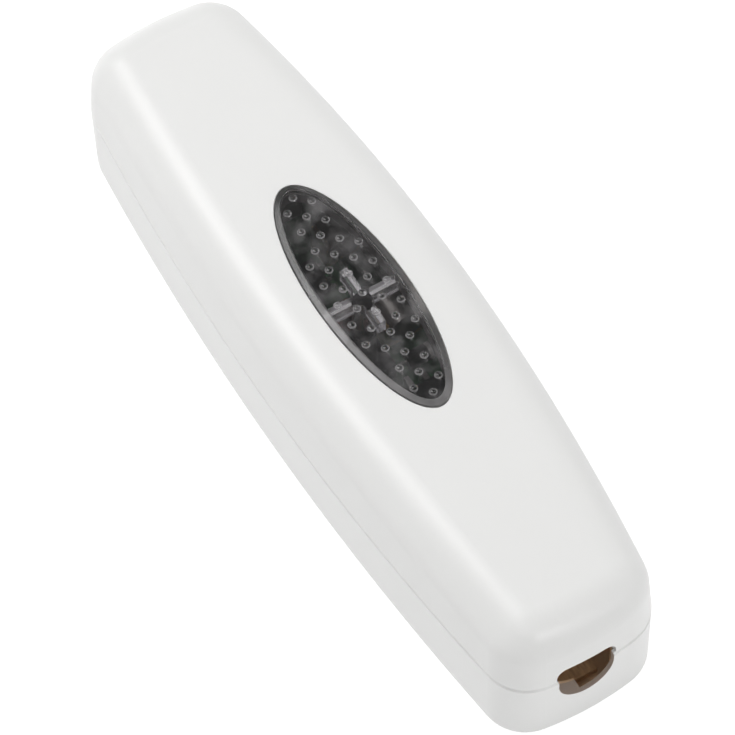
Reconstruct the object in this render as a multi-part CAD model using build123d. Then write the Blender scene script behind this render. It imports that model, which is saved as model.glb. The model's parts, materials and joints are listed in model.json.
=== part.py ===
from build123d import *
import os
from math import sqrt

# An inline cord dimmer. Sizes are in millimetres. X runs along the body from one cord
# inlet to the other, Y across it, and Z up from the surface that it rests on.

# Housing
body_length = 112.0
body_width = 30.0           # across the middle of the bowed long sides
end_width = 22.9            # across each end, before the corners are rounded
end_bow = 1.5               # how far each end bows out
corner_radius = 6.27
body_height = 26.8          # at the middle of the crowned top
top_drop = 3.7              # fall of the crowned top from its middle to its ends
split_height = 12.5         # rim of the base
seam_gap = 0.2              # shadow line between the two rims
seam_chamfer = 0.25
cover_side_lean = 0.3       # how far a cover wall leans in from its rim to the top,
cover_corner_lean = 0.6     # at the middle of a side, beside a corner and at an end
cover_end_lean = 0.8
base_side_lean = 0.55       # the same for a base wall, from its rim down to the floor
base_corner_lean = 0.0
base_end_lean = 0.45
top_edge_radius = 5.9
bottom_edge_radius = 1.5
floor_edge_radius = 0.6     # inside, where the walls meet the floor
wall = 2.2
roof = 1.8
floor = 2.0
lip_height = 1.6            # tongue of the base that stands inside the cover
lip_thickness = 0.9
lip_clearance = 0.15
rib_thickness = 1.2         # stiffening ribs under the roof
rib_depth = 2.0
rib_from_middle = 25.0

# Cord inlets and cord clamps
inlet_width = 8.2           # round bottomed notch in each end of the base
inlet_axis_drop = 1.2       # from the rim of the base down to the axis of the cord
inlet_offset = -0.75        # of the cord's axis across the body, opposite at the other end
inlet_lip = 0.85            # thickness left in front of the pocket behind the notch
inlet_ledge = 3.5           # width of the channel's floor left beside the pocket
inlet_pocket_depth = 3.0    # below the lowest line of the notch
inlet_pocket_spare = 1.0    # how far the pocket reaches past the notch's side
cover_notch_width = 8.8
cover_notch_height = 2.4
cover_notch_radius = 1.5
pad_width = 8.0             # pad under the cord, between the end wall and the clamp
pad_thickness = 1.2
pad_clearance = 0.2
clamp_from_end = 10.0
clamp_post_radius = 2.2
clamp_post_gap = 0.3        # between the cord's channel and a post
clamp_post_rise = 1.4       # from the rim of the base up to the top of a post
saddle_thickness = 1.4
saddle_spacing = 3.6
clamp_width = 5.0
clamp_thickness = 2.2
clamp_bead_radius = 0.9     # ridge that bites into the cord

# Screws
housing_screw_radius = 1.45
housing_screw_length = 14.0
housing_head_radius = 2.7
housing_head_height = 1.9
housing_head_recess = 5.0   # depth of the head's seat above the underside
clamp_screw_radius = 1.25
clamp_screw_length = 8.0
clamp_head_radius = 2.2
clamp_head_height = 1.6
drive_slot_width = 0.7
drive_slot_depth = 0.8
thread_clearance = 0.05
hole_clearance = 0.25
bore_spare = 1.0            # depth of a screw's bore past its tip
boss_from_end = 17.0
boss_from_wall = 2.9        # from the inner face of the long wall to the screw's axis
boss_wall = 1.0
cover_boss_wall = 1.7

# Push button
oval_length = 39.2
oval_width = 12.4
button_proud = 0.5          # above the crowned top
button_clearance = 0.2      # all round, in the oval hole
button_rim = 0.95           # bead round the dotted field
button_rim_height = 0.3
button_bevel_width = 0.72   # slope from the top of the bead to its outer edge
button_bevel_drop = 0.28
rim_edge_radius = 0.1       # inner edge of the bead
button_plate = 1.2
button_skirt = 0.9
button_flange = 1.0         # thickness of the flange that keeps the button in
flange_reach = 0.9          # how far the flange stands out under the collar
collar_wall = 1.1
collar_depth = 0.6          # below the roof at the middle of the crown
flange_gap = 0.15
cross_thickness = 1.2
cross_depth = 2.8
cross_chamfer = 0.3
cross_arm = 4.8             # half length of the arm along the button
stem_radius = 1.5
dot_radius = 0.58
dot_height = 0.3
dot_pitch = 3.5             # along a row
dot_row_pitch = 1.865       # rows are staggered by half a pitch
dot_margin = 0.42           # clear field left between a dot and the rim

# Circuit board and its pins
board_underside = 5.6
board_thickness = 1.6
board_clearance = 0.5
board_post_radius = 2.0
board_pin_radius = 0.9
board_pin_rise = 0.7
board_pin_clearance = 0.12
board_post_from_end = 3.2
board_post_from_side = 2.4

# Push switch under the button
switch_size = 6.0
switch_body_height = 3.6
switch_height = 10.0
plunger_radius = 1.7
plunger_clearance = 0.1
plunger_seat_drop = 1.2     # how far the plunger reaches down into the body at rest
plunger_travel_room = 1.2
switch_leg_width = 0.7
switch_leg_thickness = 0.3

# Screw terminals
terminal_depth = 8.0
terminal_pitch = 5.0
terminal_height = 9.5
terminal_side_wall = 0.7
terminal_from_edge = 1.0
terminal_floor = 1.2
cage_width = 3.4
cage_depth = 4.6
cage_height = 4.2
cage_wall = 0.6
cage_clearance = 0.1
cage_screw_radius = 1.1
cage_head_radius = 1.6
cage_head_height = 1.6
cage_screw_reach = 1.2      # tip of the screw below the top of its cage
well_clearance = 0.15

# Parts on the circuit board: place of each on the board, then its sizes
film_capacitor_at = (10.2, -6.4)
film_capacitor_size = (10.0, 5.0, 8.6)
film_capacitor_radius = 0.6
varistor_at = (17.6, -6.2)
varistor_radius = 3.4
varistor_thickness = 3.0
varistor_stand = 0.8
choke_at = (-8.6, -5.4)
choke_radius = 4.1
choke_height = 8.4
choke_flange = 1.1
choke_core_radius = 1.9
choke_turns = 7
electrolytic_at = (-17.2, -6.0)
electrolytic_radius = 3.15
electrolytic_height = 8.2
electrolytic_neck = 0.25
chip_at = (-15.4, 0.7)
chip_size = (5.0, 3.9, 1.5)
chip_stand = 0.15
chip_leg_reach = 1.0
chip_leg_width = 0.42
chip_leg_thickness = 0.2
chip_leg_pitch = 1.27
chip_legs_a_side = 4
led_at = (-6.2, 1.4)
led_radius = 1.5
led_length = 4.2            # from the flange to the top of the dome
led_flange_radius = 1.9
led_flange_height = 0.9
led_stand = 3.0
led_lead = 0.5
led_lead_pitch = 2.0
fuse_at = (-11.0, 7.0)
fuse_radius = 2.5
fuse_length = 20.0
fuse_glass_wall = 0.5
fuse_cap_length = 5.0
fuse_cap_wall = 0.3
fuse_stand = 1.0            # from the board to the lowest line of the fuse
clip_thickness = 0.5
clip_length = 4.0
clip_grip = 1.2             # height of a clip's arms above the fuse's axis
resistor_places = ((-2.4, -6.9), (1.4, -6.9))
resistor_length = 5.0
resistor_radius = 1.1
diode_at = (2.6, 6.9)
diode_length = 4.2
diode_radius = 1.2
axial_lead_radius = 0.3
axial_lead_span = 6.6       # between the two legs of an axial part
axial_stand = 0.4
triac_at = (12.6, 3.2)
triac_size = (10.6, 7.6, 2.7)
triac_bevel = 0.5
triac_hole_from_end = 3.0
triac_lead_length = 2.2
triac_lead_width = 0.7
triac_lead_thickness = 0.5
triac_lead_pitch = 2.3
sink_thickness = 1.4
sink_wing_height = 8.0
sink_margin = 0.6           # of the foot round the triac
sink_screw_radius = 1.2
sink_head_radius = 2.0
sink_head_height = 1.4

# Levels and places that follow from the sizes above
half_length = body_length / 2
cover_rim = split_height + seam_gap
inlet_axis = split_height - inlet_axis_drop
inlet_radius = inlet_width / 2
board_top = board_underside + board_thickness
plunger_top = board_top + switch_height
roof_underside = body_height - roof
collar_bottom = roof_underside - collar_depth
flange_top = collar_bottom - flange_gap
button_top = body_height + button_proud
field_height = button_top - button_rim_height
plate_underside = field_height - button_plate
oval_radii = (oval_length / 2, oval_width / 2)
boss_x = half_length - boss_from_end
clamp_x = half_length - clamp_from_end
clamp_post_y = inlet_radius + clamp_post_gap + clamp_post_radius
clamp_post_top = split_height + clamp_post_rise


def side_radius(half_middle, half_end, shoulder):
    """Radius of the arc that a bowed long side follows."""
    rise = half_middle - half_end
    return (shoulder ** 2 + rise ** 2) / (2 * rise)


def side_at(x):
    """Half width of the housing's rim at a place along the body."""
    radius = side_radius(body_width / 2, end_width / 2, half_length - end_bow)
    return sqrt(radius ** 2 - x ** 2) - (radius - body_width / 2)


boss_y = side_at(boss_x) - wall - boss_from_wall
base_boss_radius = housing_head_radius + hole_clearance + boss_wall
cover_boss_radius = housing_screw_radius + cover_boss_wall
board_half_length = boss_x - base_boss_radius - board_clearance
board_half_width = side_at(board_half_length) - wall - base_side_lean - board_clearance
board_post_x = board_half_length - board_post_from_end
board_post_y = board_half_width - board_post_from_side
terminal_x = board_half_length - terminal_from_edge - terminal_depth / 2
corners = [(x, y) for x in (-1, 1) for y in (-1, 1)]


def block(length, width, height, x=0.0, y=0.0, bottom=0.0):
    """Box centred on x and y that stands on a level."""
    return Pos(x, y, bottom) * Box(length, width, height, align=(Align.CENTER, Align.CENTER, Align.MIN))


def rod(radius, height, x=0.0, y=0.0, bottom=0.0):
    """Upright cylinder that stands on a level."""
    return Pos(x, y, bottom) * Cylinder(radius, height, align=(Align.CENTER, Align.CENTER, Align.MIN))


def oval(grow, bottom, top):
    """Upright prism on the button's ellipse, grown or shrunk all round."""
    ellipse = Ellipse(oval_radii[0] + grow, oval_radii[1] + grow)
    return extrude(Pos(0, 0, bottom) * ellipse, top - bottom)


def outline(inset, leans=(0.0, 0.0, 0.0)):
    """Plan of the housing: two bowed sides, two slightly bowed ends, round corners.
    The leans draw in the middle of each side, its ends, and the ends of the body."""
    side_lean, corner_lean, end_lean = leans
    reach = half_length - inset - end_lean
    shoulder = reach - end_bow
    half_middle = body_width / 2 - inset - side_lean
    half_end = end_width / 2 - inset - corner_lean
    left = ThreePointArc((-shoulder, half_end), (0, half_middle), (shoulder, half_end))
    near = ThreePointArc((shoulder, half_end), (reach, 0), (shoulder, -half_end))
    right = ThreePointArc((shoulder, -half_end), (0, -half_middle), (-shoulder, -half_end))
    far = ThreePointArc((-shoulder, -half_end), (-reach, 0), (-shoulder, half_end))
    plan = make_face(left + near + right + far)
    return fillet(plan.vertices(), corner_radius - inset)


def under_crown(height):
    """All that lies below a crowned surface of the given height at its middle."""
    low = height - top_drop
    arch = ThreePointArc((half_length, 0, low), (0, 0, height), (-half_length, 0, low))
    sides = Polyline((-half_length, 0, low), (-half_length, 0, 0), (half_length, 0, 0), (half_length, 0, low))
    return extrude(make_face(arch + sides), body_width, both=True)


def seam_bevel(rim, away):
    """Thin slice that draws the outline in towards a rim, away from which the wall is full."""
    full = Pos(0, 0, rim + away * seam_chamfer) * outline(0)
    drawn_in = Pos(0, 0, rim) * outline(seam_chamfer)
    return loft([full, drawn_in], ruled=True)


def cover_block(inset, height, edge_radius, bottom):
    """Solid of the cover's outer or inner form, from a level up to the crowned top."""
    low = Pos(0, 0, bottom) * outline(inset)
    high = Pos(0, 0, body_height) * outline(inset, (cover_side_lean, cover_corner_lean, cover_end_lean))
    tapered = loft([low, high], ruled=True)
    crowned = tapered & under_crown(height)
    top_face = crowned.faces().sort_by(Axis.Z)[-1]
    return fillet(top_face.edges(), edge_radius)


def base_block(inset, bottom, edge_radius, top):
    """Solid of the base's outer or inner form, from its bottom up to a level."""
    low = Pos(0, 0, bottom) * outline(inset, (base_side_lean, base_corner_lean, base_end_lean))
    high = Pos(0, 0, top) * outline(inset)
    tapered = loft([low, high], ruled=True)
    return fillet(tapered.faces().sort_by(Axis.Z)[0].edges(), edge_radius)


def cord_y(end):
    """Place of a cord's axis across the body."""
    return end * inlet_offset


def inlet_notch(end):
    """Round bottomed notch that the cord passes through, cut through one end of the base,
    with a pocket that thins the wall behind it beside a ledge."""
    reach = 2 * (wall + base_end_lean)
    x = end * half_length
    y = cord_y(end)
    height = inlet_axis_drop + lip_height
    channel = Pos(x, y, inlet_axis) * Rot(0, 90, 0) * Cylinder(inlet_radius, 2 * reach)
    channel += block(2 * reach, inlet_width, height, x, y, inlet_axis)
    pocket_x = end * (half_length - inlet_lip - reach / 2)
    pocket_y = y + end * (inlet_ledge + inlet_pocket_spare) / 2
    pocket_bottom = inlet_axis - inlet_radius - inlet_pocket_depth
    pocket_height = split_height + lip_height - pocket_bottom
    pocket_width = inlet_width - inlet_ledge + inlet_pocket_spare
    return channel + block(reach, pocket_width, pocket_height, pocket_x, pocket_y, pocket_bottom)


def make_top_cover():
    """Crowned upper shell with the button's oval hole, collar, ribs and screw bosses."""
    outer = cover_block(0, body_height, top_edge_radius, cover_rim + seam_chamfer)
    outer += seam_bevel(cover_rim, 1)
    inner = cover_block(wall, roof_underside, top_edge_radius - wall, cover_rim)
    inside = cover_block(wall / 2, roof_underside + roof / 2, top_edge_radius - wall / 2, cover_rim)
    cover = outer - inner
    for side in (-1, 1):
        rib = block(rib_thickness, body_width, body_height, side * rib_from_middle, 0, cover_rim)
        cover += (rib & inside) - under_crown(roof_underside - rib_depth)
    cover += (oval(button_clearance + collar_wall, collar_bottom, body_height) & inside)
    for x, y in corners:
        cover += rod(cover_boss_radius, body_height, x * boss_x, y * boss_y, cover_rim) & inside
    cover -= oval(button_clearance, cover_rim, 2 * body_height)
    rebate = outline(wall - lip_thickness - lip_clearance)
    rebate_height = lip_height - seam_gap + lip_clearance
    bosses = Part() + [rod(cover_boss_radius, body_height, x * boss_x, y * boss_y) for x, y in corners]
    cover -= extrude(Pos(0, 0, cover_rim) * rebate, rebate_height) - bosses
    for x, y in corners:
        depth = housing_head_recess + housing_screw_length + bore_spare - cover_rim
        cover -= rod(housing_screw_radius + thread_clearance, depth, x * boss_x, y * boss_y, cover_rim)
    for end in (-1, 1):
        reach = 2 * (wall + cover_end_lean)
        x, y = end * half_length, cord_y(end)
        notch = block(2 * reach, cover_notch_width, cover_notch_height, x, y, cover_rim)
        cover -= fillet(notch.edges().filter_by(Axis.X).sort_by(Axis.Z)[-2:], cover_notch_radius)
    return cover


def make_base_shell():
    """Lower tray with its tongue, cord inlets, cord saddles, board posts and screw bosses."""
    outer = base_block(0, 0, bottom_edge_radius, split_height - seam_chamfer)
    outer += seam_bevel(split_height, -1)
    solid_form = outer
    base = outer - base_block(wall, floor, floor_edge_radius, split_height)
    tongue = extrude(Pos(0, 0, split_height) * (outline(wall - lip_thickness) - outline(wall)), lip_height)
    for x, y in corners:
        tongue -= rod(cover_boss_radius + lip_clearance, body_height, x * boss_x, y * boss_y)
    base += tongue
    for end in (-1, 1):
        base -= inlet_notch(end)
    for x, y in corners:
        boss = rod(base_boss_radius, split_height - floor, x * boss_x, y * boss_y, floor)
        base += boss & solid_form
        base += rod(cover_boss_radius, seam_gap, x * boss_x, y * boss_y, split_height)
        post_y = cord_y(x) + y * clamp_post_y
        base += rod(clamp_post_radius, clamp_post_top - floor, x * clamp_x, post_y, floor)
        base += rod(board_post_radius, board_underside - floor, x * board_post_x, y * board_post_y, floor)
        pin_height = board_top + board_pin_rise - board_underside
        base += rod(board_pin_radius, pin_height, x * board_post_x, y * board_post_y, board_underside)
    for end in (-1, 1):
        for step in (-1, 1):
            x = end * clamp_x + step * saddle_spacing / 2
            y = cord_y(end)
            saddle = block(saddle_thickness, 2 * clamp_post_y, inlet_axis - floor, x, y, floor)
            groove = Pos(x, y, inlet_axis) * Rot(0, 90, 0) * Cylinder(inlet_radius, 2 * saddle_thickness)
            base += saddle - groove
    for x, y in corners:
        base -= rod(housing_screw_radius + hole_clearance, split_height, x * boss_x, y * boss_y, seam_gap)
        base -= rod(housing_head_radius + hole_clearance, housing_head_recess, x * boss_x, y * boss_y)
        bore_bottom = clamp_post_top + clamp_thickness - clamp_screw_length - bore_spare
        bore_radius = clamp_screw_radius + thread_clearance
        base -= rod(bore_radius, body_height, x * clamp_x, cord_y(x) + y * clamp_post_y, bore_bottom)
    return base


def make_push_button():
    """Clear oval cap with a rim, a field of raised dots, a keeping flange and a cross-ribbed stem."""
    flange_bottom = flange_top - button_flange
    cap = oval(0, flange_bottom, 2 * body_height) & under_crown(button_top)
    top_face = cap.faces().sort_by(Axis.Z)[-1]
    cap = chamfer(top_face.edges(), button_bevel_width, button_bevel_drop, reference=top_face)
    cap -= oval(-button_rim, collar_bottom, 2 * body_height) - under_crown(field_height)
    rim_face = cap.faces().sort_by(Axis.Z)[-1]
    cap = fillet(rim_face.inner_wires()[0].edges(), rim_edge_radius)
    hollow = oval(-button_skirt, flange_bottom, 2 * body_height) & under_crown(plate_underside)
    cap -= hollow
    flange = oval(flange_reach, flange_bottom, flange_top) - oval(-button_skirt, flange_bottom, flange_top)
    cap += flange
    cross_bottom = plate_underside - cross_depth
    across = block(cross_thickness, oval_width, 2 * cross_depth, 0, 0, cross_bottom)
    along = block(2 * cross_arm, cross_thickness, 2 * cross_depth, 0, 0, cross_bottom)
    cross = (across + along) & hollow
    lower_edges = cross.faces().sort_by(Axis.Z)[0].edges().filter_by(GeomType.LINE)
    cap += chamfer(lower_edges, cross_chamfer)
    stem = rod(stem_radius, plate_underside - plunger_top, 0, 0, plunger_top)
    cap += stem & under_crown(plate_underside)
    return cap + dot_field()


def dot_places():
    """Staggered grid of the raised dots that keep clear of the button's rim."""
    room_x = oval_radii[0] - button_rim - dot_margin - dot_radius
    room_y = oval_radii[1] - button_rim - dot_margin - dot_radius
    places = []
    rows = int(room_y / dot_row_pitch)
    columns = int(room_x / dot_pitch) + 1
    for row in range(-rows, rows + 1):
        shift = dot_pitch / 2 if row % 2 else 0.0
        for column in range(-columns, columns + 1):
            x = column * dot_pitch + shift
            y = row * dot_row_pitch
            if (x / room_x) ** 2 + (y / room_y) ** 2 <= 1:
                places.append((x, y))
    return places


def dot_field():
    """Low domes on the crowned field of the button."""
    dome_radius = (dot_radius ** 2 + dot_height ** 2) / (2 * dot_height)
    domes = []
    for x, y in dot_places():
        field_level = field_height - top_drop * (x / half_length) ** 2
        centre = field_level + dot_height - dome_radius
        column = rod(dot_radius, 2 * dot_height + button_plate / 2, x, y, field_level - button_plate / 2)
        domes.append(column & (Pos(x, y, centre) * Sphere(dome_radius)))
    return domes


def make_circuit_board():
    """Plain board with a hole for each locating pin."""
    board = block(2 * board_half_length, 2 * board_half_width, board_thickness, 0, 0, board_underside)
    for x, y in corners:
        hole_radius = board_pin_radius + board_pin_clearance
        board -= rod(hole_radius, board_thickness, x * board_post_x, y * board_post_y, board_underside)
    return board


def make_switch_body():
    """Square switch with a well for its plunger and a leg at each corner."""
    body = block(switch_size, switch_size, switch_body_height, 0, 0, board_top)
    body = chamfer(body.faces().sort_by(Axis.Z)[-1].edges(), switch_leg_thickness)
    well_bottom = board_top + switch_body_height - plunger_seat_drop - plunger_travel_room
    body -= rod(plunger_radius + plunger_clearance, switch_body_height, 0, 0, well_bottom)
    for x, y in corners:
        leg_x = x * (switch_size + switch_leg_thickness) / 2
        leg_y = y * switch_size / 3
        body += block(switch_leg_thickness, switch_leg_width, switch_body_height / 2, leg_x, leg_y, board_top)
    return body


def make_switch_plunger():
    """Round plunger that the button's stem rests on."""
    bottom = board_top + switch_body_height - plunger_seat_drop
    plunger = rod(plunger_radius, plunger_top - bottom, 0, 0, bottom)
    return chamfer(plunger.faces().sort_by(Axis.Z)[-1].edges(), plunger_clearance)


def make_terminal_block(end):
    """Two-pole screw terminal with wire chambers that open towards the cord."""
    width = 2 * terminal_pitch + 2 * terminal_side_wall
    x = end * terminal_x
    body = block(terminal_depth, width, terminal_height, x, 0, board_top)
    outer_face = body.faces().sort_by(Axis.X)[-1 if end > 0 else 0]
    body = chamfer(outer_face.edges().sort_by(Axis.Z)[-1], terminal_side_wall)
    chamber_bottom = board_top + terminal_floor
    for pole in (-1, 1):
        y = pole * terminal_pitch / 2
        mouth = x + end * (terminal_depth - cage_depth) / 2
        body -= block(cage_depth, cage_width + 2 * cage_clearance, cage_height + cage_clearance,
                      mouth, y, chamber_bottom)
        well_radius = cage_head_radius + well_clearance
        body -= rod(well_radius, terminal_height, mouth, y, chamber_bottom + cage_height)
    return body


def make_terminal_clamps():
    """Metal cages that close on the wires, one for each pole of each terminal."""
    cages = []
    bottom = board_top + terminal_floor
    for end, pole in corners:
        x = end * (terminal_x + (terminal_depth - cage_depth) / 2)
        y = pole * terminal_pitch / 2
        cage = block(cage_depth, cage_width, cage_height, x, y, bottom)
        inside = (cage_depth, cage_width - 2 * cage_wall, cage_height - 2 * cage_wall)
        cage -= block(*inside, x, y, bottom + cage_wall)
        cages.append(cage - rod(cage_screw_radius + thread_clearance, cage_height, x, y, bottom + cage_wall))
    return Part() + cages


def slotted_screw(radius, length, head_radius, head_height):
    """Screw with its head's seat at the origin, shank down and driving slot on top."""
    head = rod(head_radius, head_height)
    head = fillet(head.faces().sort_by(Axis.Z)[-1].edges(), head_height / 4)
    head -= block(2 * head_radius, drive_slot_width, drive_slot_depth, 0, 0, head_height - drive_slot_depth)
    shank = rod(radius, length, 0, 0, -length)
    shank = chamfer(shank.faces().sort_by(Axis.Z)[0].edges(), radius / 2)
    return head + shank


def make_terminal_screws():
    """Small screws that close the terminals' cages."""
    seat = board_top + terminal_floor + cage_height
    screw = slotted_screw(cage_screw_radius, cage_screw_reach, cage_head_radius, cage_head_height)
    screws = []
    for end, pole in corners:
        x = end * (terminal_x + (terminal_depth - cage_depth) / 2)
        screws.append(Pos(x, pole * terminal_pitch / 2, seat) * screw)
    return Part() + screws


def make_cord_clamp(end):
    """Bar across the cord with a biting ridge underneath and a screw hole at each side."""
    x = end * clamp_x
    y = cord_y(end)
    bar = block(clamp_width, 2 * clamp_post_y, clamp_thickness, x, y, clamp_post_top)
    for side in (-1, 1):
        bar += rod(clamp_width / 2, clamp_thickness, x, y + side * clamp_post_y, clamp_post_top)
    ridge = Pos(x, y, clamp_post_top) * Rot(90, 0, 0) * Cylinder(clamp_bead_radius, inlet_width)
    bar += ridge
    hole_radius = clamp_screw_radius + hole_clearance
    for side in (-1, 1):
        bar -= rod(hole_radius, clamp_thickness, x, y + side * clamp_post_y, clamp_post_top)
    return bar


def make_cord_pads():
    """Pad on the floor under each cord, between the end wall and the clamp's saddles."""
    low = clamp_x + (saddle_spacing + saddle_thickness) / 2 + pad_clearance
    high = half_length - wall - base_end_lean - floor_edge_radius - pad_clearance - end_bow / 3
    pads = []
    for end in (-1, 1):
        pads.append(block(high - low, pad_width, pad_thickness, end * (low + high) / 2, cord_y(end), floor))
    return Part() + pads


def make_cord_clamp_screws():
    """Screws that draw the two cord clamps down."""
    screw = slotted_screw(clamp_screw_radius, clamp_screw_length, clamp_head_radius, clamp_head_height)
    seat = clamp_post_top + clamp_thickness
    return Part() + [Pos(x * clamp_x, cord_y(x) + y * clamp_post_y, seat) * screw for x, y in corners]


def make_housing_screws():
    """Screws from underneath that hold the two shells together."""
    screw = slotted_screw(housing_screw_radius, housing_screw_length,
                          housing_head_radius, housing_head_height)
    upward = Rot(180, 0, 0) * screw
    return Part() + [Pos(x * boss_x, y * boss_y, housing_head_recess) * upward for x, y in corners]


def make_film_capacitor():
    """Boxed capacitor with rounded edges."""
    x, y = film_capacitor_at
    body = block(*film_capacitor_size, x, y, board_top)
    return fillet(body.edges().filter_by(Axis.Z), film_capacitor_radius)


def make_varistor():
    """Coated disc on edge, held up by its two legs."""
    x, y = varistor_at
    centre = board_top + varistor_stand + varistor_radius
    disc = Pos(x, y, centre) * Rot(0, 90, 0) * Cylinder(varistor_radius, varistor_thickness)
    disc = fillet(disc.edges().filter_by(GeomType.CIRCLE), varistor_thickness / 3)
    leg_height = varistor_stand + varistor_radius
    for side in (-1, 1):
        disc += rod(axial_lead_radius, leg_height, x, y + side * varistor_radius / 2, board_top)
    return disc


def make_choke_core():
    """Ferrite drum with a flange at each end."""
    x, y = choke_at
    core = rod(choke_core_radius, choke_height, x, y, board_top)
    core += rod(choke_radius, choke_flange, x, y, board_top)
    return core + rod(choke_radius, choke_flange, x, y, board_top + choke_height - choke_flange)


def make_choke_winding():
    """Wire wound on the drum, drawn as a sleeve with one ridge for each turn."""
    x, y = choke_at
    room = choke_height - 2 * choke_flange
    wire = room / choke_turns
    bottom = board_top + choke_flange
    winding = rod(choke_radius - wire, room, x, y, bottom)
    for turn in range(choke_turns):
        winding += Pos(x, y, bottom + (turn + 0.5) * wire) * Torus(choke_radius - wire, wire / 2)
    return winding - rod(choke_core_radius, room, x, y, bottom)


def make_electrolytic_capacitor():
    """Upright can with a crimped neck."""
    x, y = electrolytic_at
    can = rod(electrolytic_radius, electrolytic_height, x, y, board_top)
    can = fillet(can.faces().sort_by(Axis.Z)[-1].edges(), 2 * electrolytic_neck)
    neck = Torus(electrolytic_radius + electrolytic_neck, 2 * electrolytic_neck)
    return can - Pos(x, y, board_top + electrolytic_radius / 2) * neck


def make_dimmer_chip():
    """Small surface-mounted chip with bent legs."""
    x, y = chip_at
    length, width, height = chip_size
    chip = block(length, width, height, x, y, board_top + chip_stand)
    for side in (-1, 1):
        for leg in range(chip_legs_a_side):
            leg_x = x + (leg - (chip_legs_a_side - 1) / 2) * chip_leg_pitch
            root = y + side * width / 2
            foot = root + side * chip_leg_reach / 2
            drop = root + side * chip_leg_thickness
            chip += block(chip_leg_width, chip_leg_reach, chip_leg_thickness, leg_x, foot, board_top)
            chip += block(chip_leg_width, 2 * chip_leg_thickness, height / 2, leg_x, drop, board_top)
    return chip


def make_indicator_led():
    """Domed lamp on two leads."""
    x, y = led_at
    seat = board_top + led_stand
    lamp = rod(led_flange_radius, led_flange_height, x, y, seat)
    lamp += rod(led_radius, led_length - led_radius, x, y, seat)
    lamp += Pos(x, y, seat + led_length - led_radius) * Sphere(led_radius)
    for side in (-1, 1):
        lamp += block(led_lead, led_lead, led_stand, x + side * led_lead_pitch / 2, y, board_top)
    return lamp


def fuse_level():
    """Height of the fuse's axis."""
    return board_top + fuse_stand + fuse_radius


def along_fuse(radius, length, offset=0.0):
    """Cylinder on the fuse's axis, moved along it."""
    x, y = fuse_at
    return Pos(x + offset, y, fuse_level()) * Rot(0, 90, 0) * Cylinder(radius, length)


def make_fuse_tube():
    """Glass tube of the fuse."""
    glass_radius = fuse_radius - fuse_cap_wall
    length = fuse_length - 2 * fuse_cap_wall
    return along_fuse(glass_radius, length) - along_fuse(glass_radius - fuse_glass_wall, length)


def make_fuse_end_caps():
    """Metal cap on each end of the fuse."""
    caps = []
    for side in (-1, 1):
        middle = side * (fuse_length - fuse_cap_length) / 2
        hollow = along_fuse(fuse_radius - fuse_cap_wall, fuse_cap_length, middle - side * fuse_cap_wall)
        caps.append(along_fuse(fuse_radius, fuse_cap_length, middle) - hollow)
    return Part() + caps


def make_fuse_clips():
    """Spring clip round each end cap, standing on the board."""
    x, y = fuse_at
    clips = []
    for side in (-1, 1):
        offset = side * (fuse_length - fuse_cap_length) / 2
        outer_radius = fuse_radius + clip_thickness
        ring = along_fuse(outer_radius, clip_length, offset)
        stand = block(clip_length, 2 * outer_radius, fuse_level() - board_top, x + offset, y, board_top)
        grip_top = fuse_level() + clip_grip
        above = block(2 * clip_length, 3 * outer_radius, outer_radius, x + offset, y, grip_top)
        clips.append(ring + stand - along_fuse(fuse_radius, 2 * clip_length, offset) - above)
    return Part() + clips


def axial_part(length, radius, x, y):
    """Lying part across the board with a bent leg at each end."""
    level = board_top + axial_stand + radius
    lying = Pos(x, y, level) * Rot(90, 0, 0)
    body = lying * Cylinder(radius, length)
    body = fillet(body.edges().filter_by(GeomType.CIRCLE), radius / 3)
    body += lying * Cylinder(axial_lead_radius, axial_lead_span)
    for side in (-1, 1):
        leg_y = y + side * (axial_lead_span / 2 - axial_lead_radius)
        body += rod(axial_lead_radius, level - board_top, x, leg_y, board_top)
    return body


def make_resistors():
    """Lying resistors."""
    return Part() + [axial_part(resistor_length, resistor_radius, x, y) for x, y in resistor_places]


def make_heat_sink():
    """Bent plate: a foot under the triac and a wing that stands beside it."""
    x, y = triac_at
    length, width, _ = triac_size
    foot_width = width + 2 * sink_margin
    sink = block(length, foot_width, sink_thickness, x, y, board_top)
    wing_y = y + (foot_width + sink_thickness) / 2
    sink += block(length, sink_thickness, sink_wing_height, x, wing_y, board_top)
    hole = rod(sink_screw_radius + thread_clearance, sink_thickness, triac_screw_x(), y, board_top)
    return sink - hole


def triac_screw_x():
    """Place along the board of the screw that holds the triac down."""
    return triac_at[0] + triac_size[0] / 2 - triac_hole_from_end


def make_triac():
    """Flat power switch on the heat sink with three legs bent down to the board."""
    x, y = triac_at
    length, width, height = triac_size
    seat = board_top + sink_thickness
    body = block(length, width, height, x, y, seat)
    body = chamfer(body.faces().sort_by(Axis.Z)[-1].edges(), triac_bevel)
    body -= rod(sink_screw_radius + hole_clearance, height, triac_screw_x(), y, seat)
    root = x - length / 2
    level = seat + height / 3
    for leg in (-1, 0, 1):
        leg_y = y + leg * triac_lead_pitch
        body += block(triac_lead_length, triac_lead_width, triac_lead_thickness,
                      root - triac_lead_length / 2, leg_y, level)
        knee = root - triac_lead_length + triac_lead_thickness / 2
        body += block(triac_lead_thickness, triac_lead_width, level - board_top, knee, leg_y, board_top)
    return body


def make_heat_sink_screw():
    """Screw that clamps the triac to its heat sink."""
    seat = board_top + sink_thickness + triac_size[2]
    screw = slotted_screw(sink_screw_radius, seat - board_top, sink_head_radius, sink_head_height)
    return Pos(triac_screw_x(), triac_at[1], seat) * screw


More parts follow.
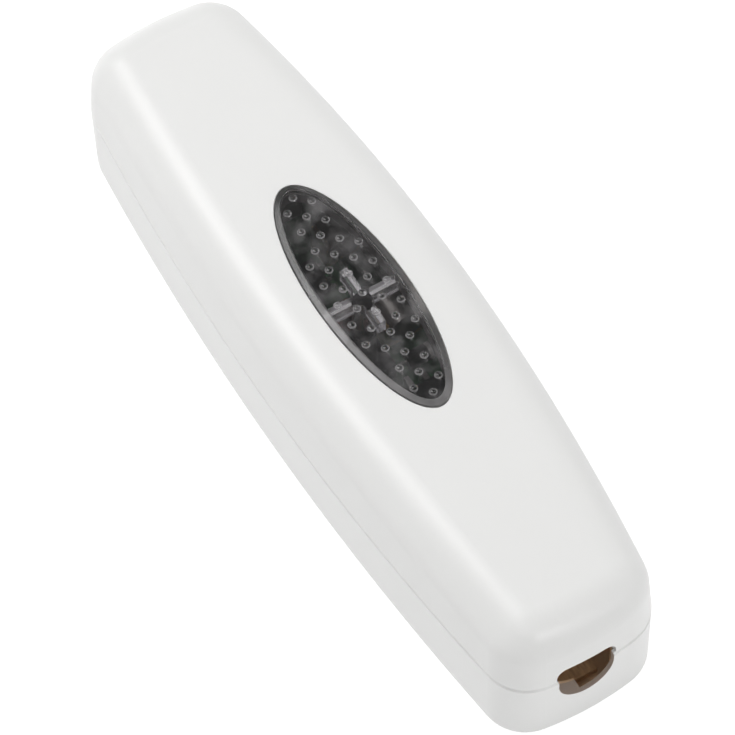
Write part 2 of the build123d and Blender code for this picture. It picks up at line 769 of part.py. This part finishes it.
nodes = {
    "top_cover": make_top_cover(),
    "base_shell": make_base_shell(),
    "push_button": make_push_button(),
    "circuit_board": make_circuit_board(),
    "switch_body": make_switch_body(),
    "switch_plunger": make_switch_plunger(),
    "mains_terminal_block": make_terminal_block(-1),
    "lamp_terminal_block": make_terminal_block(1),
    "terminal_clamps": make_terminal_clamps(),
    "terminal_screws": make_terminal_screws(),
    "mains_cord_clamp": make_cord_clamp(-1),
    "lamp_cord_clamp": make_cord_clamp(1),
    "cord_pads": make_cord_pads(),
    "cord_clamp_screws": make_cord_clamp_screws(),
    "housing_screws": make_housing_screws(),
    "film_capacitor": make_film_capacitor(),
    "varistor": make_varistor(),
    "choke_core": make_choke_core(),
    "choke_winding": make_choke_winding(),
    "electrolytic_capacitor": make_electrolytic_capacitor(),
    "dimmer_chip": make_dimmer_chip(),
    "indicator_led": make_indicator_led(),
    "fuse_tube": make_fuse_tube(),
    "fuse_end_caps": make_fuse_end_caps(),
    "fuse_clips": make_fuse_clips(),
    "resistors": make_resistors(),
    "diode": axial_part(diode_length, diode_radius, *diode_at),
    "heat_sink": make_heat_sink(),
    "triac": make_triac(),
    "heat_sink_screw": make_heat_sink_screw(),
}

os.makedirs("parts", exist_ok=True)
for name, solid in nodes.items():
    export_step(solid, f"parts/{name}.step")
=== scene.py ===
import json
import math

import bpy
from mathutils import Matrix, Vector


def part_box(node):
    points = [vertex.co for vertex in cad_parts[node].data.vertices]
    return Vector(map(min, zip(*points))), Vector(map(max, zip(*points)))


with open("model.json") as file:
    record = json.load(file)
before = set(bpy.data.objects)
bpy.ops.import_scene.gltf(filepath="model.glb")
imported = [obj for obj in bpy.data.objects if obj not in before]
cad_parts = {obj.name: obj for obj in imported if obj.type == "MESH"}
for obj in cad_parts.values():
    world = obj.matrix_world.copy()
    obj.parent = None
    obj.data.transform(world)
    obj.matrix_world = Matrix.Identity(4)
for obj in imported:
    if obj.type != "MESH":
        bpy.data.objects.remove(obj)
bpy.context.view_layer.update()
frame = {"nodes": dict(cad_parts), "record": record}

# Camera at the photograph's viewing angle. Lengths are in metres, angles in degrees.
view_azimuth = 60.444
view_elevation = 58.425
view_roll = -2.126
view_distance = 0.87532
view_aim = Vector((0.002054, -0.000807, 0.011957))
clip_distance = 20.0
focal_pixels = 6658.8
frame_pixels = 735
sensor_width = 36.0         # in millimetres, as the lens is

# Soft light: a world that is brighter near the horizon, and soft boxes round the object.
# The level of a box is what a white card that faces it would show.
world_above = 0.31
world_horizon = 0.69
world_horizon_rise = 0.45   # height of the bright band, as the sine of its elevation
box_distance = 0.9
soft_boxes = {
    "left_box": {"azimuth": 296.0, "elevation": 48.0, "size": (0.55, 0.42), "level": 0.272},
    "left_low_box": {"azimuth": 285.0, "elevation": 40.0, "size": (0.45, 0.35), "level": 0.061},
    "left_high_box": {"azimuth": 310.0, "elevation": 58.0, "size": (0.40, 0.40), "level": 0.109},
    "top_left_box": {"azimuth": 288.0, "elevation": 76.0, "size": (0.34, 0.34), "level": 0.150},
    "top_box": {"azimuth": 330.0, "elevation": 73.0, "size": (0.50, 0.45), "level": 0.068},
    "front_box": {"azimuth": 45.0, "elevation": 58.0, "size": (0.30, 0.30), "level": 0.047},
    "end_strip": {"azimuth": 94.0, "elevation": 31.0, "size": (0.30, 0.03), "level": 0.135},
    "end_low_box": {"azimuth": 110.0, "elevation": 15.0, "size": (0.40, 0.20), "level": 0.075},
    "right_box": {"azimuth": 144.0, "elevation": 15.0, "size": (0.40, 0.20), "level": 0.047},
    "far_box": {"azimuth": 200.0, "elevation": 35.0, "size": (0.90, 0.60), "level": 0.094},
}
floor_reach = 3.0
floor_gap = 0.00005         # keeps the floor clear of the underside
floor_glow = 0.90
floor_shade = (0.30, 0.30, 0.30)
floor_colour = (0.85, 0.85, 0.85)

# Finishes that several pieces share
white = (1.0, 1.0, 1.0)
tin = (0.62, 0.61, 0.60)
tin_roughness = 0.28
black = (0.018, 0.018, 0.019)
fine_grain = 0.000003       # depth of the relief on moulded plastic

# Walls of the cord inlets in the lower shell, which get a painted brown shade. Each start is a distance from
# the shell's middle along X.
inlet_start = 0.036
inlet_lip_start = 0.0538
inlet_half_width = 0.0070
inlet_middle_height = 0.00695
inlet_half_height = 0.0055
end_face_start = 0.0540
end_face_tilt = 0.6         # least part of the end face's normal along X

# Zones of the button: the dotted field inside its rim, the ribs and the skirt below
dot_height = 0.0003
field_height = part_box("push_button")[1].z - dot_height
field_crown = 1.18          # drop of the field over the square of the distance along X
field_half_length = 0.01865
field_half_width = 0.00525
flank_low = 0.00002         # the flanks of the dots, as heights above the field
flank_high = 0.00016
plate_underside = 0.02575
skirt_top = 0.0252
cross_half_length = 0.0050
cross_half_width = 0.00525
rib_edge_tilt = (0.5, 0.9)  # part of the normal along Z on a chamfered edge
painted_reflection_slant = -2.0           # how the painted reflection on the rim turns from the end towards one side
painted_reflection_start = 0.003
painted_reflection_end = 0.016

# Frosting of those zones, added to the plain surface of the button. On the ribs and their edges, the
# cloudier surface is painted glints. On one side of the rim it is a painted reflection.
zone_changes = {
    "dot_flank": {"rougher": 0.10, "cloudier": 0.38},
    "rim": {"rougher": 0.18, "cloudier": 0.0},
    "rim_painted_reflection": {"rougher": 0.10, "cloudier": 0.28},
    "cross": {"rougher": 0.14, "cloudier": 0.14},
    "rib_edge_glint": {"rougher": 0.10, "cloudier": 0.74},
    "skirt": {"rougher": 0.10, "cloudier": 0.08},
}

# Where the body of a small part ends and its tinned legs begin
varistor_reach = 0.0068
chip_half_width = 0.00196
triac_reach = 0.01061
lamp_lead_height = 0.0030
resistor_half_length = 0.0025
diode_half_length = 0.0021

# Half the width of the rings painted on a small part
resistor_ring = 0.00022
diode_ring = 0.0003


def opaque(colour):
    """Colour of three channels with its alpha."""
    return (*colour, 1.0)


def shade_of(colour, level):
    """The same colour, darker or lighter."""
    return tuple(level * channel for channel in colour)


def middle_of(node):
    """Middle of a node's box."""
    low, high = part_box(node)
    return (low + high) / 2


def add_node(tree, kind, inputs=None, **settings):
    """New shader node with its settings, and each input set to a value or linked to a socket."""
    node = tree.nodes.new(kind)
    for key, value in settings.items():
        setattr(node, key, value)
    for key, value in (inputs or {}).items():
        if isinstance(value, bpy.types.NodeSocket):
            tree.links.new(value, node.inputs[key])
        else:
            node.inputs[key].default_value = value
    return node


def new_material(name, **inputs):
    """Node material with one principled shader whose constant inputs are given."""
    material = bpy.data.materials.new(name)
    material.use_nodes = True
    shader = material.node_tree.nodes["Principled BSDF"]
    for key, value in inputs.items():
        shader.inputs[key.replace("_", " ")].default_value = value
    return material, material.node_tree, shader


def place_of(tree, stretch=(1.0, 1.0, 1.0)):
    """Position on the object in metres, stretched along its axes."""
    place = add_node(tree, "ShaderNodeTexCoord").outputs["Object"]
    if stretch == (1.0, 1.0, 1.0):
        return place
    return add_node(tree, "ShaderNodeMapping", {"Vector": place, "Scale": stretch}).outputs["Vector"]


def noise(tree, features_per_metre, detail=3.0, stretch=(1.0, 1.0, 1.0)):
    """Noise over the object, as a grey value."""
    texture = add_node(tree, "ShaderNodeTexNoise", {
        "Vector": place_of(tree, stretch), "Scale": features_per_metre, "Detail": detail})
    return texture.outputs["Fac"]


def between(tree, factor, low, high, start=0.0, end=1.0):
    """Ramp between two colours or two grey levels."""
    ramp = add_node(tree, "ShaderNodeValToRGB", {"Fac": factor})
    for stop, value, at in zip(ramp.color_ramp.elements, (low, high), (start, end)):
        stop.position = at
        stop.color = opaque(value if isinstance(value, tuple) else (value, value, value))
    return ramp.outputs["Color"]


def mixed_colour(tree, mask, first, second, blend_type="MIX"):
    """Colour that goes from a first to a second one as a mask goes from zero to one."""
    mix = add_node(tree, "ShaderNodeMix", {"Factor": mask, "A": first, "B": second},
                   data_type="RGBA", blend_type=blend_type)
    return mix.outputs["Result"]


def swap_shader(tree, mask, shader, other):
    """Makes the surface show one shader, and another where a mask is one."""
    mix = add_node(tree, "ShaderNodeMixShader", {0: mask, 1: shader.outputs[0], 2: other.outputs[0]})
    tree.links.new(mix.outputs[0], tree.nodes["Material Output"].inputs["Surface"])


def dress(tree, shader, colour, roughness, height, depth):
    """Gives a shader its colour, its roughness and a relief of a depth in metres."""
    tree.links.new(colour, shader.inputs["Base Color"])
    tree.links.new(roughness, shader.inputs["Roughness"])
    relief = add_node(tree, "ShaderNodeBump", {"Height": height, "Strength": 1.0, "Distance": depth})
    tree.links.new(relief.outputs["Normal"], shader.inputs["Normal"])


def math_node(tree, operation, *values):
    """Result of one arithmetic node on sockets or numbers."""
    return add_node(tree, "ShaderNodeMath", dict(enumerate(values)), operation=operation).outputs[0]


def more_than(tree, value, limit):
    """One where a value is over a limit, and zero elsewhere."""
    return math_node(tree, "GREATER_THAN", value, limit)


def less_than(tree, value, limit):
    """One where a value is under a limit, and zero elsewhere."""
    return math_node(tree, "LESS_THAN", value, limit)


def overlap(tree, first, *others):
    """Product of masks, which is one only where all of them are."""
    for mask in others:
        first = math_node(tree, "MULTIPLY", first, mask)
    return first


def all_but(tree, mask):
    """One where a mask is zero."""
    return math_node(tree, "SUBTRACT", 1.0, mask)


def off_middle(tree, vector, axis, middle=0.0):
    """Distance of a vector's component from a middle along an axis."""
    component = add_node(tree, "ShaderNodeSeparateXYZ", {0: vector}).outputs[axis]
    return math_node(tree, "ABSOLUTE", math_node(tree, "SUBTRACT", component, middle))


def tilt_towards(tree, axis):
    """Part of the surface's normal along an axis, either way."""
    return off_middle(tree, add_node(tree, "ShaderNodeNewGeometry").outputs["Normal"], axis)


def beyond(tree, axis, middle, reach):
    """One where the surface lies further than a reach from a middle along an axis, and zero elsewhere."""
    return more_than(tree, off_middle(tree, place_of(tree), axis, middle), reach)


def within(tree, axis, middle, reach):
    """One where the surface lies nearer than a reach to a middle along an axis, and zero elsewhere."""
    return less_than(tree, off_middle(tree, place_of(tree), axis, middle), reach)


def moulded(name, colour, roughness, grain_depth=fine_grain):
    """Moulded plastic: uneven tone, a fine grain and a gloss that varies."""
    material, tree, shader = new_material(name, IOR=1.5)
    tone = between(tree, noise(tree, 250.0), shade_of(colour, 0.88), shade_of(colour, 1.08))
    sheen = between(tree, noise(tree, 900.0), roughness - 0.06, roughness + 0.06)
    dress(tree, shader, tone, sheen, noise(tree, 6000.0, 4.0), grain_depth)
    return material


def metal(name, colour, roughness, streaks=(1.0, 1.0, 1.0), streak_depth=0.000004):
    """Bare or plated metal with drawn streaks along an axis and patches of duller surface."""
    material, tree, shader = new_material(name, Metallic=1.0)
    tone = between(tree, noise(tree, 400.0), shade_of(colour, 0.80), colour, 0.3, 0.7)
    sheen = between(tree, noise(tree, 1500.0, 4.0, streaks), roughness - 0.08, roughness + 0.12)
    dress(tree, shader, tone, sheen, noise(tree, 4000.0, 3.0, streaks), streak_depth)
    return material


def legged(name, colour, roughness, axis, place, reach):
    """Moulded body whose tinned legs lie beyond a reach from a place along an axis."""
    material, tree, shader = new_material(name, IOR=1.5)
    leg = beyond(tree, axis, place, reach)
    speckle = between(tree, noise(tree, 1200.0), 0.85, 1.0)
    tone = mixed_colour(tree, 1.0, between(tree, leg, colour, tin), speckle, "MULTIPLY")
    tree.links.new(leg, shader.inputs["Metallic"])
    sheen = between(tree, leg, roughness, tin_roughness)
    dress(tree, shader, tone, sheen, noise(tree, 6000.0, 4.0), fine_grain)
    return material


def inlet_walls(tree):
    """One on the walls of the two cord inlets, where the painted shade goes, and zero on the rest of the
    shell.
    """
    outward = more_than(tree, tilt_towards(tree, "X"), end_face_tilt)
    end_face = overlap(tree, beyond(tree, "X", 0.0, end_face_start), outward)
    inlets = overlap(tree, beyond(tree, "X", 0.0, inlet_start), within(tree, "Y", 0.0, inlet_half_width),
                     within(tree, "Z", inlet_middle_height, inlet_half_height))
    return overlap(tree, inlets, all_but(tree, end_face))


def white_plastic(name, shaded_inlets=False):
    """Satin moulded plastic: a fine eroded mould texture and a trace of uneven tone.
    The one with shaded inlets has a painted brown shade on the walls inside the cord inlets, greyer and
    darker on their lips."""
    material, tree, shader = new_material(name, IOR=1.5)
    tone = between(tree, noise(tree, 60.0), (0.790, 0.790, 0.780), (0.810, 0.810, 0.800))
    # Painted shade: the walls inside the cord inlets are coloured brown, darker and greyer on the lips, for
    # the dim light in there.
    if shaded_inlets:
        lip = beyond(tree, "X", 0.0, inlet_lip_start)
        inlet_shade_colour = between(tree, lip, (0.80, 0.57, 0.37), (0.50, 0.41, 0.35))
        tone = mixed_colour(tree, inlet_walls(tree), tone, inlet_shade_colour)
    sheen = between(tree, noise(tree, 500.0), 0.31, 0.37)
    dress(tree, shader, tone, sheen, noise(tree, 5000.0, 4.0), fine_grain)
    return material


def button_zones(tree):
    """Masks of the zones of the button, each of them one in its zone and zero elsewhere.
    The painted reflection on the rim fades in and is mottled."""
    place = add_node(tree, "ShaderNodeSeparateXYZ", {0: place_of(tree)}).outputs
    along = math_node(tree, "MULTIPLY", place["X"], place["X"])
    across = math_node(tree, "MULTIPLY", place["Y"], place["Y"])
    uncrowned = math_node(tree, "MULTIPLY_ADD", along, field_crown, place["Z"])
    rise = math_node(tree, "SUBTRACT", uncrowned, field_height)
    oval = math_node(tree, "MULTIPLY", along, field_half_length ** -2)
    oval = math_node(tree, "MULTIPLY_ADD", across, field_half_width ** -2, oval)
    rim = more_than(tree, oval, 1.0)
    dot_flank = overlap(tree, more_than(tree, rise, flank_low), less_than(tree, rise, flank_high),
                        less_than(tree, oval, 1.0))
    # Painted reflection: towards the near end and one side, the rim is made cloudier, so it shows lighter.
    slant = math_node(tree, "MULTIPLY_ADD", place["Y"], painted_reflection_slant, place["X"])
    painted_reflection = add_node(tree, "ShaderNodeMapRange", {
        "Value": slant, "From Min": painted_reflection_start, "From Max": painted_reflection_end}, interpolation_type="SMOOTHSTEP")
    mottling = between(tree, noise(tree, 1100.0, 5.0), 0.6, 1.0, 0.35, 0.65)
    middle = overlap(tree, within(tree, "X", 0.0, cross_half_length),
                     within(tree, "Y", 0.0, cross_half_width))
    cross = overlap(tree, less_than(tree, place["Z"], plate_underside), middle)
    tilt = tilt_towards(tree, "Z")
    edge_low, edge_high = rib_edge_tilt
    return {
        "dot_flank": dot_flank,
        "rim": rim,
        # Mask of a painted reflection on one side of the rim.
        "rim_painted_reflection": overlap(tree, rim, painted_reflection.outputs["Result"], mottling),
        "cross": cross,
        # Mask of painted glints on the rib edges.
        "rib_edge_glint": overlap(tree, more_than(tree, tilt, edge_low), less_than(tree, tilt, edge_high), cross),
        "skirt": overlap(tree, less_than(tree, place["Z"], skirt_top), all_but(tree, middle)),
    }


def smoked_clear():
    """Smoked clear plastic of the button, which lets part of the lamps' light through to the inside.
    It has a patchy haze, and some of its zones are frosted by the mould. Its ribs are nearly white and
    cloudy at their edges, as painted glints, and one side of its rim is cloudier, as a painted reflection."""
    material, tree, shader = new_material("smoked_clear", IOR=1.50)
    zones = button_zones(tree)
    sheen = between(tree, noise(tree, 800.0), 0.04, 0.08)
    clear = between(tree, noise(tree, 260.0, 5.0), 1.0, 0.82, 0.49, 0.70)
    for zone, zone_change in zone_changes.items():
        sheen = math_node(tree, "MULTIPLY_ADD", zones[zone], zone_change["rougher"], sheen)
        clear = math_node(tree, "MULTIPLY_ADD", zones[zone], -zone_change["cloudier"], clear)
    # Painted glints: the ribs get a near-white colour in place of the smoke, so they show light.
    smoke_and_rib_glint = between(tree, zones["cross"], (0.43, 0.42, 0.425), (0.95, 0.95, 0.97))
    smoke_and_rib_glint = mixed_colour(tree, zones["skirt"], smoke_and_rib_glint, opaque((0.44, 0.42, 0.42)))
    tree.links.new(sheen, shader.inputs["Roughness"])
    tree.links.new(clear, shader.inputs["Transmission Weight"])
    tree.links.new(smoke_and_rib_glint, shader.inputs["Base Color"])
    path = add_node(tree, "ShaderNodeLightPath").outputs
    passing = add_node(tree, "ShaderNodeBsdfTransparent", {"Color": opaque((0.74, 0.73, 0.73))})
    swap_shader(tree, path["Is Shadow Ray"], shader, passing)
    return material


def board_laminate():
    """Green solder mask over copper tracks, with the weave of the glass cloth just showing."""
    material, tree, shader = new_material("board_laminate", IOR=1.55)
    tracks = add_node(tree, "ShaderNodeTexBrick", {
        "Vector": place_of(tree), "Scale": 220.0, "Mortar Size": 0.09, "Mortar Smooth": 0.3,
        "Color1": opaque((0.020, 0.105, 0.045)), "Color2": opaque((0.022, 0.112, 0.048)),
        "Mortar": opaque((0.045, 0.175, 0.070))})
    weave = add_node(tree, "ShaderNodeTexChecker", {"Vector": place_of(tree), "Scale": 1600.0})
    sheen = between(tree, noise(tree, 700.0), 0.26, 0.38)
    dress(tree, shader, tracks.outputs["Color"], sheen, weave.outputs["Fac"], 0.000006)
    return material


def fibre_brown():
    """Pressed brown fibre: long flecks lying along the sheet and a dull, slightly furry face."""
    material, tree, shader = new_material("fibre_brown", IOR=1.45)
    flecks = noise(tree, 2200.0, 6.0, (0.25, 1.0, 3.0))
    tone = between(tree, flecks, (0.66, 0.45, 0.27), (0.90, 0.66, 0.42), 0.3, 0.7)
    sheen = between(tree, noise(tree, 900.0), 0.60, 0.78)
    dress(tree, shader, tone, sheen, flecks, 0.000025)
    return material


def copper_wire():
    """Enamelled copper: a clear brown varnish over bright metal."""
    material, tree, shader = new_material("copper_wire", Metallic=1.0, Coat_Weight=0.8, Coat_Roughness=0.12)
    tone = between(tree, noise(tree, 900.0), (0.36, 0.115, 0.035), (0.56, 0.215, 0.075))
    sheen = between(tree, noise(tree, 2500.0), 0.24, 0.36)
    dress(tree, shader, tone, sheen, noise(tree, 3000.0, 2.0, (1.0, 1.0, 4.0)), 0.000008)
    return material


def lamp_red():
    """Diffused red lamp on tinned leads."""
    material, tree, shader = new_material("lamp_red", IOR=1.53)
    body = beyond(tree, "Z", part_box("indicator_led")[0].z, lamp_lead_height)
    tree.links.new(between(tree, body, tin, (0.30, 0.035, 0.03)), shader.inputs["Base Color"])
    tree.links.new(between(tree, body, 1.0, 0.0), shader.inputs["Metallic"])
    tree.links.new(between(tree, body, 0.0, 0.5), shader.inputs["Transmission Weight"])
    tree.links.new(between(tree, noise(tree, 1500.0), 0.10, 0.22), shader.inputs["Roughness"])
    return material


def fuse_glass():
    """Clear glass with faint drawing lines."""
    glass = opaque((0.95, 0.97, 0.96))
    material, tree, shader = new_material("fuse_glass", IOR=1.5, Transmission_Weight=1.0, Base_Color=glass)
    tree.links.new(between(tree, noise(tree, 900.0), 0.01, 0.05), shader.inputs["Roughness"])
    lines = add_node(tree, "ShaderNodeBump", {
        "Height": noise(tree, 1500.0, 2.0, (0.05, 1.0, 1.0)), "Strength": 0.3, "Distance": 0.000005})
    tree.links.new(lines.outputs["Normal"], shader.inputs["Normal"])
    return material


def banded(name, node, colour, half_length, ring_half_width, rings):
    """Dipped axial part with painted rings round its body and tinned legs beyond it.
    Each ring gives its place along the body and its colour."""
    middle = middle_of(node).y
    material, tree, shader = new_material(name, IOR=1.5)
    tone = between(tree, noise(tree, 900.0), shade_of(colour, 0.9), shade_of(colour, 1.06))
    for place, paint in rings:
        off_ring = beyond(tree, "Y", middle + place, ring_half_width)
        tone = mixed_colour(tree, off_ring, opaque(paint), tone)
    leg = beyond(tree, "Y", middle, half_length)
    tone = mixed_colour(tree, leg, tone, opaque(tin))
    tree.links.new(leg, shader.inputs["Metallic"])
    sheen = between(tree, noise(tree, 1500.0), 0.24, 0.36)
    dress(tree, shader, tone, sheen, noise(tree, 3000.0), 0.000004)
    return material


def resistor_coat():
    """Tan resistor with four rings."""
    rings = [(-0.0016, (0.20, 0.06, 0.02)), (-0.0007, (0.015, 0.015, 0.015)),
             (0.0002, (0.55, 0.13, 0.02)), (0.0015, (0.50, 0.36, 0.10))]
    tan = (0.52, 0.40, 0.26)
    return banded("resistor_coat", "resistors", tan, resistor_half_length, resistor_ring, rings)


def diode_black():
    """Black diode with one silver ring at its cathode."""
    rings = [(0.0013, (0.60, 0.60, 0.58))]
    return banded("diode_black", "diode", black, diode_half_length, diode_ring, rings)


def dress_pieces():
    """Gives each piece the finish of its slot, or one of its own."""
    for plain_colour in list(bpy.data.materials):
        bpy.data.materials.remove(plain_colour)
    varistor_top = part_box("varistor")[1].z
    triac_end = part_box("triac")[1].x
    chip_middle = middle_of("dimmer_chip").y
    finishes = {
        "white_plastic": white_plastic("white_plastic"),
        "smoked_clear": smoked_clear(),
        "board_laminate": board_laminate(),
        "black_plastic": moulded("black_plastic", black, roughness=0.42),
        "terminal_plastic": moulded("terminal_plastic", (0.34, 0.35, 0.33), roughness=0.45),
        "fibre_brown": fibre_brown(),
        "zinc_steel": metal("zinc_steel", (0.60, 0.59, 0.56), roughness=0.30),
        "brass": metal("brass", (0.72, 0.53, 0.24), roughness=0.28, streaks=(1.0, 0.15, 1.0)),
        "aluminium": metal("aluminium", (0.30, 0.30, 0.31), roughness=0.42, streaks=(0.08, 1.0, 1.0)),
        "yellow_box": moulded("yellow_box", (0.62, 0.40, 0.035), roughness=0.36),
        "blue_coat": legged("blue_coat", (0.022, 0.085, 0.30), 0.30, "Z", varistor_top, varistor_reach),
        "ferrite": moulded("ferrite", (0.045, 0.045, 0.050), roughness=0.55, grain_depth=0.000010),
        "copper_wire": copper_wire(),
        "can_sleeve": moulded("can_sleeve", (0.018, 0.022, 0.050), roughness=0.30),
        "lamp_red": lamp_red(),
        "fuse_glass": fuse_glass(),
        "cap_nickel": metal("cap_nickel", (0.42, 0.41, 0.39), roughness=0.36),
        "resistor_coat": resistor_coat(),
    }
    own_finishes = {
        # The lower shell has a painted brown shade inside its cord inlets.
        "base_shell": white_plastic("shaded_inlets_plastic", shaded_inlets=True),
        "diode": diode_black(),
        "dimmer_chip": legged("chip_black", black, 0.50, "Y", chip_middle, chip_half_width),
        "triac": legged("triac_black", black, 0.48, "X", triac_end, triac_reach),
    }
    for part in frame["record"]["subparts"]:
        node = part["node"]
        slots = frame["nodes"][node].data.materials
        slots.clear()
        slots.append(own_finishes.get(node, finishes[part["material_slot"]]))


def make_floor():
    """Pale floor that shows white, and keeps part of the shadow that falls on it."""
    bpy.ops.mesh.primitive_plane_add(size=2 * floor_reach, location=(0.0, 0.0, -floor_gap))
    floor = bpy.context.object
    floor.name = "floor"
    material, tree, shader = new_material("floor", Roughness=0.8, Base_Color=opaque(floor_colour))
    path = add_node(tree, "ShaderNodeLightPath").outputs
    seen = path["Is Camera Ray"]
    for kind in ("Is Glossy Ray", "Is Transmission Ray"):
        seen = math_node(tree, "MAXIMUM", seen, path[kind])
    glow = add_node(tree, "ShaderNodeEmission", {"Color": opaque(white), "Strength": floor_glow})
    shade = add_node(tree, "ShaderNodeBsdfDiffuse", {"Color": opaque(floor_shade)})
    pale = add_node(tree, "ShaderNodeAddShader", {0: glow.outputs[0], 1: shade.outputs[0]})
    swap_shader(tree, seen, shader, pale)
    floor.data.materials.append(material)


def make_world():
    """Soft surrounding light, brighter near the horizon."""
    world = bpy.data.worlds.new("studio")
    bpy.context.scene.world = world
    world.use_nodes = True
    tree = world.node_tree
    direction = add_node(tree, "ShaderNodeTexCoord").outputs["Generated"]
    height = add_node(tree, "ShaderNodeSeparateXYZ", {0: direction}).outputs["Z"]
    level = add_node(tree, "ShaderNodeMapRange", {
        "Value": height, "From Min": 0.0, "From Max": world_horizon_rise,
        "To Min": world_horizon, "To Max": world_above}, interpolation_type="SMOOTHSTEP")
    background = tree.nodes["Background"]
    background.inputs["Color"].default_value = opaque(white)
    tree.links.new(level.outputs["Result"], background.inputs["Strength"])


def direction_of(azimuth, elevation):
    """Unit vector from the object towards an azimuth and elevation in degrees."""
    around, above = math.radians(azimuth), math.radians(elevation)
    return Vector((math.sin(around) * math.cos(above), -math.cos(around) * math.cos(above), math.sin(above)))


def make_soft_box(name, azimuth, elevation, size, level):
    """Rectangular lamp that faces the middle of the object."""
    light = bpy.data.lights.new(name, "AREA")
    light.shape = "RECTANGLE"
    light.size, light.size_y = size
    light.energy = level * math.pi ** 2 * box_distance ** 2
    lamp = bpy.data.objects.new(name, light)
    lamp.location = view_aim + box_distance * direction_of(azimuth, elevation)
    lamp.rotation_euler = (view_aim - lamp.location).to_track_quat("-Z", "Y").to_euler()
    bpy.context.scene.collection.objects.link(lamp)


def make_camera():
    """Camera on its azimuth, elevation and roll, with its lens worked out from the photograph's frame."""
    back = direction_of(view_azimuth, view_elevation)
    around = math.radians(view_azimuth)
    level = Vector((math.cos(around), math.sin(around), 0.0))
    roll = math.radians(view_roll)
    right = math.cos(roll) * level + math.sin(roll) * back.cross(level)
    camera = bpy.data.objects.new("camera", bpy.data.cameras.new("camera"))
    camera.data.sensor_width = sensor_width
    camera.data.lens = focal_pixels * sensor_width / frame_pixels
    camera.data.clip_end = clip_distance
    camera.matrix_world = Matrix((right, back.cross(right), back)).transposed().to_4x4()
    camera.location = view_aim + view_distance * back
    bpy.context.scene.collection.objects.link(camera)
    bpy.context.scene.camera = camera


dress_pieces()
make_floor()
make_world()
for name, settings in soft_boxes.items():
    make_soft_box(name, **settings)
make_camera()
bpy.context.scene.view_settings.view_transform = "Standard"
